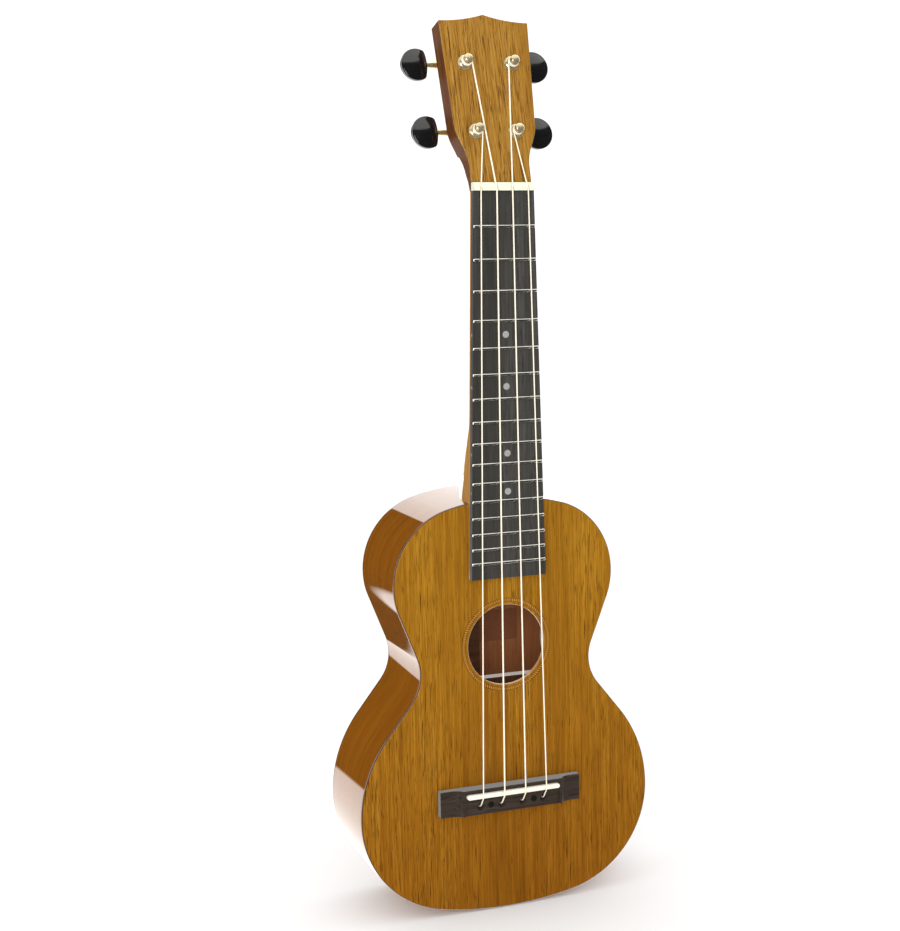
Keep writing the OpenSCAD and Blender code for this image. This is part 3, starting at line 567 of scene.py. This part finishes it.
def heel_at(depth):
    """Half width and length of the heel at a depth, on a smooth curve through its rings."""
    if depth <= HEEL[0][0]:
        return HEEL[0][1], HEEL[0][2] + (HEEL[0][0] - depth) * 4
    for i in range(len(HEEL) - 1):
        if depth <= HEEL[i + 1][0] + 1e-6:
            t = (depth - HEEL[i][0]) / (HEEL[i + 1][0] - HEEL[i][0])
            p0, p1 = HEEL[max(i - 1, 0)], HEEL[i]
            p2, p3 = HEEL[i + 1], HEEL[min(i + 2, len(HEEL) - 1)]
            span = p2[0] - p1[0]
            values = []
            for c in (1, 2):
                m1 = (p2[c] - p0[c]) / max(p2[0] - p0[0], 1) * span
                m2 = (p3[c] - p1[c]) / max(p3[0] - p1[0], 1) * span
                values.append((2 * t ** 3 - 3 * t ** 2 + 1) * p1[c] + (t ** 3 - 2 * t ** 2 + t) * m1
                              + (3 * t ** 2 - 2 * t ** 3) * p2[c] + (t ** 3 - t ** 2) * m2)
            return values[0], values[1]
    return HEEL[-1][1], HEEL[-1][2]


def neck_section(z):
    """Points across the neck at height z: (x, depth behind the soundboard's face), from right to left."""
    above = z - BODY_TOP / MM
    along = (NUT_Z / MM - z) / ((NUT_Z - BODY_TOP) / MM)
    shaft_w, shaft_d = board_half_w(z), 13 + 2.5 * along
    heel_d = 0
    steps = 120
    for i in range(steps + 1):
        depth = HEEL[0][0] + (HEEL[-1][0] - HEEL[0][0]) * i / steps
        if heel_at(depth)[1] > above:
            heel_d = depth
    deepest = max(shaft_d, heel_d)
    right = []
    count = 26
    for i in range(count):
        t = i / count
        depth = (deepest + NECK_RISE) * (1 - (1 - t) ** 2.2) - NECK_RISE
        share = min(1, (depth + NECK_RISE) / (shaft_d + NECK_RISE))
        shaft = shaft_w * (1 - share * share) ** 0.5
        heel_w, heel_l = heel_at(max(depth, HEEL[0][0]))
        rise = max(0, above + HEEL_ROOT) / (heel_l + HEEL_ROOT)
        heel = heel_w * max(0, 1 - min(1, rise) ** (2 / 0.85)) ** 0.425 if depth <= heel_d else 0
        right.append(((shaft ** 5 + heel ** 5) ** 0.2 if heel else shaft, depth))
    right = [(min(x, shaft_w), d) for x, d in right]
    return right + [(0, deepest)] + [(-x, d) for x, d in reversed(right)]


def head_outline(low):
    """The headstock's outline in its own frame, in millimetres, from a starting height up the right edge."""
    edge = [(NUT_HALF_W, 0)] + walk((NUT_HALF_W, 0), -90, HEAD_EDGE, 2.0)
    first = next(k for k, (x, z) in enumerate(edge) if z > low)
    (x0, z0), (x1, z1) = edge[first - 1], edge[first]
    edge = [(x0 + (x1 - x0) * (low - z0) / (z1 - z0), low)] + edge[first:]
    slope = math.tan(math.radians(sum(turn for radius, turn in HEAD_EDGE if radius)))
    corner = (edge[-1][0] + (HEAD_LEN - edge[-1][1]) * slope, HEAD_LEN)
    edge.append(corner)
    arc = 2 * math.atan(CROWN_H / corner[0])
    radius = corner[0] / math.sin(arc)
    steps = 14
    edge += [(corner[0] - radius * math.sin(arc * i / steps),
              HEAD_LEN + radius * (1 - math.cos(arc * i / steps))) for i in range(1, steps + 1)]
    return edge + [(-x, z) for x, z in reversed(edge[:-1])]


def head_half_w(height):
    edge = [(x, z) for x, z in head_outline(0) if x > 0]
    for (x0, z0), (x1, z1) in zip(edge, edge[1:]):
        if z0 <= height <= z1 and z1 > z0:
            return x0 + (x1 - x0) * (height - z0) / (z1 - z0)
    return NUT_HALF_W


# Above the nut the neck's round back squares up: height, depth past the slab's, and the section's power
SQUARING = ((3, 2.5, 0.75), (8, 1.3, 0.5), (14, 0.4, 0.3), (21, 0.05, 0.1))


def squared(height):
    for (s0, d0, p0), (s1, d1, p1) in zip(SQUARING, SQUARING[1:]):
        if s0 <= height <= s1:
            t = (height - s0) / (s1 - s0)
            return d0 + (d1 - d0) * t, p0 + (p1 - p0) * t
    return SQUARING[-1][1:]


def on_head(points, depth):
    return [HEAD @ Vector((x * MM, depth * MM, z * MM)) for x, z in points]


def make_neck():
    rings = []
    z = BODY_TOP / MM - 4
    while z < NUT_Z / MM + 1:
        rings.append([Vector((x * MM, TOP_Y + d * MM, z * MM)) for x, d in neck_section(z)])
        z += 1.2 if z < BODY_TOP / MM + 60 else 4
    count = len(rings[0])
    shaft_faces = (len(rings) - 1) * count
    steps = 12
    for i in range(steps + 1):
        height = SQUARING[0][0] + (SQUARING[-1][0] - SQUARING[0][0]) * i / steps
        past, square = squared(height)
        width, depth = head_half_w(height) + 0.02, HEAD_T - VENEER_T + past
        ring = []
        for k in range(count):
            a = math.pi * k / (count - 1)
            x = width * power(math.cos(a), square)
            inward = VENEER_T + depth * abs(math.sin(a)) ** square
            ring.append(HEAD @ (Vector((x, inward, height)) * MM))
        rings.append(ring)
    vertices, faces = capped(rings)
    face_finish = [0] * shaft_faces + [1] * (len(faces) - shaft_faces)
    piece("neck_shaft", vertices, faces, "root", "neck_wood", ["neck"], ["neck", "head_edge"], face_finish,
          sharp=40)
    core = [on_head(head_outline(20), depth) for depth in (VENEER_T, HEAD_T)]
    piece("headstock_core", *capped(core), "root", "neck_wood", ["neck"], ["head_edge"], sharp=20, bevel=0.7)
    end_z, top_z = BOARD_END_Z / MM, BODY_TOP / MM + 2
    low_w, high_w = board_half_w(end_z) - 0.3, board_half_w(top_z) - 0.3
    shape = [(low_w, end_z), (high_w, top_z), (-high_w, top_z), (-low_w, end_z)]
    tongue = [flat_ring(shape, y) for y in (NECK_Y, TOP_Y)]
    piece("neck_tongue", *capped(tongue), "root", "neck_wood", ["neck"], ["neck"], sharp=20, bevel=0.2)


def make_veneer():
    rings = [on_head(head_outline(0.4), depth) for depth in (0, VENEER_T)]
    return piece("headstock_face", *capped(rings), "root", "top_wood", ["headstock_veneer"], ["head"],
                 sharp=20, bevel=0.35)


# ---------------------------------------------------------------- fittings
def tuner_frame(i):
    """The frame of tuner i: post axis along Y, height along Z, and which way is outwards."""
    post = Vector(JOINTS[f"post_{i}_turn"]["pos_m"])
    outwards = 1 if post.x > 0 else -1
    return Matrix.Translation(post) @ Matrix.Rotation(-TILT, 4, "X"), outwards


def button_edge(a):
    """How far the button's edge is from its centre in direction a, with its inner edge slightly bowed."""
    reach = BUTTON_R
    if math.cos(a) < -0.3:
        inner = BUTTON_X - (BUTTON_X + BUTTON_DEPTH - BUTTON_R)
        for _ in range(6):
            bow = BUTTON_EDGE_R - math.sqrt(BUTTON_EDGE_R ** 2 - (reach * math.sin(a)) ** 2)
            reach = min(BUTTON_R, (inner + bow) / math.cos(a))
    return reach


def make_button(i):
    """A round button with a nearly straight inner edge and a rolled rim, domed on both faces."""
    place, outwards = tuner_frame(i)
    centre_x = BUTTON_X + BUTTON_DEPTH - BUTTON_R
    corner = 1.5
    count = 96
    outline = []
    for k in range(count):
        a = 2 * math.pi * k / count
        outline.append((button_edge(a) * math.cos(a), button_edge(a) * math.sin(a)))
    # Ease the corners where the inner edge meets the round one
    for _ in range(2):
        outline = [tuple((outline[k - 1][c] + 2 * outline[k][c] + outline[(k + 1) % count][c]) / 4
                         for c in (0, 1)) for k in range(count)]
    profile = []
    for k in range(7):
        a = math.radians(15 * k)
        profile.append((1 - corner / BUTTON_R * (1 - math.cos(a)), 0.8 + 1.2 * math.sin(a)))
    for k in range(1, 9):
        t = k / 8
        profile.append(((1 - corner / BUTTON_R) * (1 - t), 2.0 + 1.75 * (1 - (1 - t) ** 2.2)))
    front = [(scale, -half) for scale, half in reversed(profile[:-1])]
    rings = []
    for scale, half in front + profile[:-1]:
        rings.append([place @ (Vector((outwards * (centre_x + x * scale), WORM_Y + half,
                                       WORM_OFFSET + z * scale)) * MM) for x, z in outline])
    return piece(f"tuner_button_{i}", *capped(rings), f"knob_{i}", "button_black", [f"button_{i}"],
                 ["button"], sharp=60)


COIL_HALF_H = 1.05


def make_coil(i):
    """The string's turns round its post's waist."""
    place = tuner_frame(i)[0]
    r = STRING_R[i - 1]
    turns = 3
    path = []
    steps = 22
    for k in range(turns * steps + 1):
        a = 2 * math.pi * k / steps
        y = WINDING_Y + COIL_HALF_H - 2 * COIL_HALF_H * k / (turns * steps)
        path.append((WAIST_R + r) * Vector((math.cos(a), 0, math.sin(a))) + Vector((0, y, 0)))
    path = [place @ (p * MM) for p in path]
    return piece(f"string_coil_{i}", *tube(path, [r * MM] * len(path), 10), f"post_{i}", "nylon",
                 [f"winding_{i}"], ["nylon"])


def string_points(i):
    """String i's path from its post to its knot, as the CAD has it."""
    r = STRING_R[i - 1]
    place, outwards = tuner_frame(i)
    reach = (WAIST_R + 0.25 + r) * MM
    post = place @ Vector((-outwards * reach, WINDING_Y * MM, 0))
    t = (2 * i - 5) / 3
    nut_x, saddle_x = t * 15.4 * MM, t * 21.8 * MM
    low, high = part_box("saddle")
    saddle_z = (low.z + high.z) / 2
    half_t = (high.z - low.z) / 2
    bend = half_t + (r + 0.08) * MM
    anchor_z = saddle_z - 8.1 * MM
    rear_y = TOP_Y - BRIDGE_REAR_H * MM
    over = []
    for angle in (0, 10, 19, 28, 38):
        a = math.radians(angle)
        y = TOP_Y - SADDLE_H * MM + half_t - bend * math.cos(a)
        over.append(Vector((saddle_x, y, saddle_z - bend * math.sin(a))))
    return [
        post,
        Vector((nut_x, BOARD_Y - 1.6 * MM, NUT_Z + 0.6 * MM)),
        *over,
        Vector((saddle_x, rear_y - 0.3 * MM, anchor_z + 1.5 * MM)),
        Vector((saddle_x, rear_y + 1.6 * MM, anchor_z)),
        Vector((saddle_x, TOP_IN_Y + 3 * MM, anchor_z)),
    ]


KNOT_R = 1.1
KNOT_DROP = 1.3


def make_string(i):
    r = STRING_R[i - 1] * 0.96 * MM
    path = rounded(string_points(i), 1.2 * MM)
    line = tube(path, [r] * len(path), 12)
    end = path[-1]
    knot = []
    for k in range(40):
        a = 2 * math.pi * k / 39
        loop = Vector((math.sin(2 * a), math.sin(a), math.cos(3 * a))) * KNOT_R
        knot.append(end + (loop + Vector((0, KNOT_DROP, 0))) * MM)
    tied = tube(knot, [r] * len(knot), 8)
    return piece(f"string_line_{i}", *joined(line, tied), "root", "nylon", [f"string_{i}"], ["nylon"],
                 sharp=60)


def make_saddle():
    """A bone strip with round ends and a crowned top."""
    low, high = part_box("saddle")
    half_len, half_t = (high.x - low.x) / 2, (high.z - low.z) / 2
    middle = Vector(((low.x + high.x) / 2, 0, (low.z + high.z) / 2))
    reach = half_len - half_t
    count = 16

    def ring(inset, y):
        points = []
        for side in (1, -1):
            for k in range(count + 1):
                a = math.radians(90 - 180 * k / count) if side > 0 else math.radians(-90 - 180 * k / count)
                r = half_t - inset
                points.append(middle + Vector((side * reach + r * math.cos(a), y, r * math.sin(a))))
        return points

    crown = half_t * 0.95
    rings = [ring(0, high.y), ring(0, low.y + crown)]
    for k in range(1, 7):
        a = math.radians(15 * k)
        rings.append(ring(crown * (1 - math.cos(a)), low.y + crown * (1 - math.sin(a))))
    return piece("saddle_strip", *capped(rings), "root", "bone", ["saddle"], ["bone"], sharp=50)


FRET_HALF_W = 1.05
FRET_H = 0.98


def make_frets():
    """Sixteen crowned wires with rounded ends, set in the fretboard."""
    parts = []
    for i in range(1, 17):
        z = NUT_Z - SCALE_LENGTH * MM * (1 - 2 ** (-i / 12))
        half = (board_half_w(z / MM) - 0.15) * MM
        rings = []
        for x, scale in ((-half, 0.55), (-half + 0.3 * MM, 0.9), (-half + 0.8 * MM, 1), (half - 0.8 * MM, 1),
                         (half - 0.3 * MM, 0.9), (half, 0.55)):
            ring = [Vector((x, BOARD_Y + 0.1 * MM, z + FRET_HALF_W * MM * scale))]
            for k in range(9):
                a = math.radians(22.5 * k)
                ring.append(Vector((x, BOARD_Y - FRET_H * MM * scale * math.sin(a),
                                    z + FRET_HALF_W * MM * scale * math.cos(a))))
            ring.append(Vector((x, BOARD_Y + 0.1 * MM, z - FRET_HALF_W * MM * scale)))
            rings.append(ring)
        parts.append(capped(rings))
    return piece("fret_wires", *joined(*parts), "root", "fret_metal", ["frets"], ["fret"], sharp=50)


def make_rosette():
    """The inlaid ring, and the short pale dashes let into it."""
    low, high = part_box("rosette")
    outer = (high.x - low.x) / 2 / MM
    inner = outer - ROSETTE_W
    count = 180
    rings = []
    for radius, y in ((inner, high.y), (inner, low.y - 0.00002), (outer, low.y - 0.00002), (outer, high.y)):
        turns = [2 * math.pi * k / count for k in range(count)]
        rings.append([Vector((radius * math.cos(a) * MM, y, HOLE_Z + radius * math.sin(a) * MM))
                      for a in turns])
    vertices = [p for ring in rings for p in ring]
    faces = strip(rings)
    band = piece("rosette_band", vertices, faces, "root", "rosette", ["rosette"], ["rosette"], sharp=30)
    dashes = 120
    parts = []
    for k in range(dashes):
        a = 2 * math.pi * k / dashes
        lean = 0.5
        radial = Vector((math.cos(a), 0, math.sin(a)))
        around = Vector((-math.sin(a), 0, math.cos(a)))
        long_way = (radial * math.cos(lean) + around * math.sin(lean)) * 0.95 * MM
        wide_way = (around * math.cos(lean) - radial * math.sin(lean)) * 0.28 * MM
        middle = radial * (inner + outer) / 2 * MM + Vector((0, 0, HOLE_Z))
        ring = []
        for m in range(12):
            t = 2 * math.pi * m / 12
            ring.append(middle + long_way * power(math.cos(t), 0.7) + wide_way * power(math.sin(t), 0.7))
        top = [p + Vector((0, low.y - 0.00006, 0)) for p in ring]
        base = [p + Vector((0, low.y + 0.0002, 0)) for p in ring]
        parts.append(capped([base, top]))
    inlay = piece("rosette_dashes", *joined(*parts), "root", "rosette", ["rosette"], ["dash"], sharp=30)
    return band, inlay


# ---------------------------------------------------------------- carried-over CAD nodes
CAD_FINISH = {
    "heel_block": "inner", "tail_block": "inner", "linings": "inner", "soundboard_braces": "inner",
    "bridge_plate": "inner", "back_braces": "inner", "back_centre_strip": "inner", "neck_dowels": "raw",
    "label": "label", "bridge": "bridge", "bridge_bolts": "steel", "bridge_nuts": "steel", "bolt_caps": "cap",
    "fretboard": "board", "fret_markers": "marker", "side_markers": "marker", "nut": "nut_bone",
    "post_bushings": "post", "tuner_screws": "brass",
}
for number in TUNERS:
    for kind, finish in (("tuner_plate", "brass"), ("worm_shaft", "brass"), ("worm_wheel", "brass"),
                         ("gear_screw", "brass"), ("string_post", "post")):
        CAD_FINISH[f"{kind}_{number}"] = finish
CAD_BEVEL = {"bridge": 0.5, "fretboard": 0.3, "nut": 0.35, "post_bushings": 0.12, "bolt_caps": 0.25,
             "fret_markers": 0.04, "string_post": 0.12, "tuner_plate": 0.15, "gear_screw": 0.12,
             "tuner_screws": 0.12, "bridge_nuts": 0.2}


def finish_cad_nodes():
    for name, finish in CAD_FINISH.items():
        made = frame["nodes"][name]
        made.data.materials.clear()
        made.data.materials.append(FINISH[finish])
        width = CAD_BEVEL.get(name) or CAD_BEVEL.get(name.rstrip("1234").rstrip("_"))
        if width:
            add_bevel(made, width)


# ---------------------------------------------------------------- studio
def make_studio():
    size = 12.0
    floor_z = cad_box[0].z - 0.0004
    mesh = bpy.data.meshes.new("studio_floor")
    corners = [(x * size, y * size, floor_z) for x, y in ((-1, -1), (1, -1), (1, 1), (-1, 1))]
    mesh.from_pydata(corners, [], [(0, 1, 2, 3)])
    floor = bpy.data.objects.new("studio_floor", mesh)
    scene.collection.objects.link(floor)
    paper = Shader("paper", Roughness=0.9, Specular_IOR_Level=0.1)
    cloud = paper.noise(paper.stretched((2, 2, 2)), 1.0, 2)
    paper.set("Base Color", paper.ramp(cloud, [(0.3, 0.92), (0.7, 0.95)]))
    mesh.materials.append(paper.material)
    floor.visible_glossy = False


def area_light(name, at, towards, width, height, power_w, glossy=True):
    data = bpy.data.lights.new(name, "AREA")
    data.shape = "RECTANGLE"
    data.size = width
    data.size_y = height
    data.energy = power_w
    light = bpy.data.objects.new(name, data)
    scene.collection.objects.link(light)
    light.location = at
    light.rotation_mode = "QUATERNION"
    light.rotation_quaternion = (Vector(towards) - Vector(at)).to_track_quat("-Z", "Y")
    light.visible_glossy = glossy


def make_light():
    area_light("key", (-1.1, -2.3, 0.35), (0, 0, 0.1), 1.8, 1.8, 15, glossy=False)
    area_light("strip", (-1.0, -1.75, 0.45), (0, 0, 0.38), 0.3, 1.2, 9)
    world = bpy.data.worlds.new("studio")
    scene.world = world
    world.use_nodes = True
    g = Graph(world.node_tree, "Generated")
    soft = g.tree.nodes["Background"]
    soft.inputs["Color"].default_value = (1, 1, 1, 1)
    soft.inputs["Strength"].default_value = 1.15
    # What polished surfaces mirror, by direction: bright behind but for one dark panel, dark in front but for
    # a bright ceiling
    split = g.add("ShaderNodeSeparateXYZ", {0: g.place})
    degrees = 180 / math.pi
    azimuth = g.maths("MULTIPLY", g.maths("ARCTAN2", split.outputs["X"], split.outputs["Y"]), degrees)
    elevation = g.maths("MULTIPLY", g.maths("ARCSINE", split.outputs["Z"]), degrees)
    panel_low = g.maths("ADD", elevation, g.maths("MULTIPLY", azimuth, 0.7))
    blur = 0.8
    panel = g.maths("SUBTRACT", 1.0, g.above(azimuth, -2.5, blur))
    panel = g.maths("MULTIPLY", panel, g.above(azimuth, -27.0, blur))
    panel = g.maths("MULTIPLY", panel, g.maths("SUBTRACT", 1.0, g.above(elevation, 24.0, blur)))
    panel = g.maths("MULTIPLY", panel, g.above(panel_low, -25.5, blur))
    behind = g.maths("SUBTRACT", 2.1, g.maths("MULTIPLY", panel, 2.07))
    ahead = g.maths("ADD", g.maths("MULTIPLY", g.above(elevation, 38.0, 4.0), 1.15), 0.05)
    side = g.above(split.outputs["Y"], 0.0, 0.05)
    level = g.maths("ADD", g.maths("MULTIPLY", side, behind),
                    g.maths("MULTIPLY", g.maths("SUBTRACT", 1.0, side), ahead))
    mirrored = g.add("ShaderNodeBackground", {"Color": (1.0, 0.99, 0.96, 1.0), "Strength": level})
    rays = g.add("ShaderNodeLightPath", {})
    blend = g.add("ShaderNodeMixShader",
                  {0: rays.outputs["Is Glossy Ray"], 1: soft.outputs[0], 2: mirrored.outputs[0]})
    g.tree.links.new(blend.outputs[0], g.tree.nodes["World Output"].inputs["Surface"])


# ---------------------------------------------------------------- assembly
make_neck()
make_veneer()
make_saddle()
make_frets()
make_rosette()
for number in TUNERS:
    make_button(number)
    make_coil(number)
    make_string(number)
finish_cad_nodes()
# The body and what is inside it stay out of the reflections, so its concave waist mirrors the studio alone
for made in (make_soundboard(), make_back(), make_side(1), make_side(-1)):
    made.visible_glossy = False
for name, finish in CAD_FINISH.items():
    if finish in ("inner", "raw", "label", "cap", "steel"):
        frame["nodes"][name].visible_glossy = False
make_studio()
make_light()
scene.view_settings.view_transform = "Standard"

bpy.context.view_layer.update()
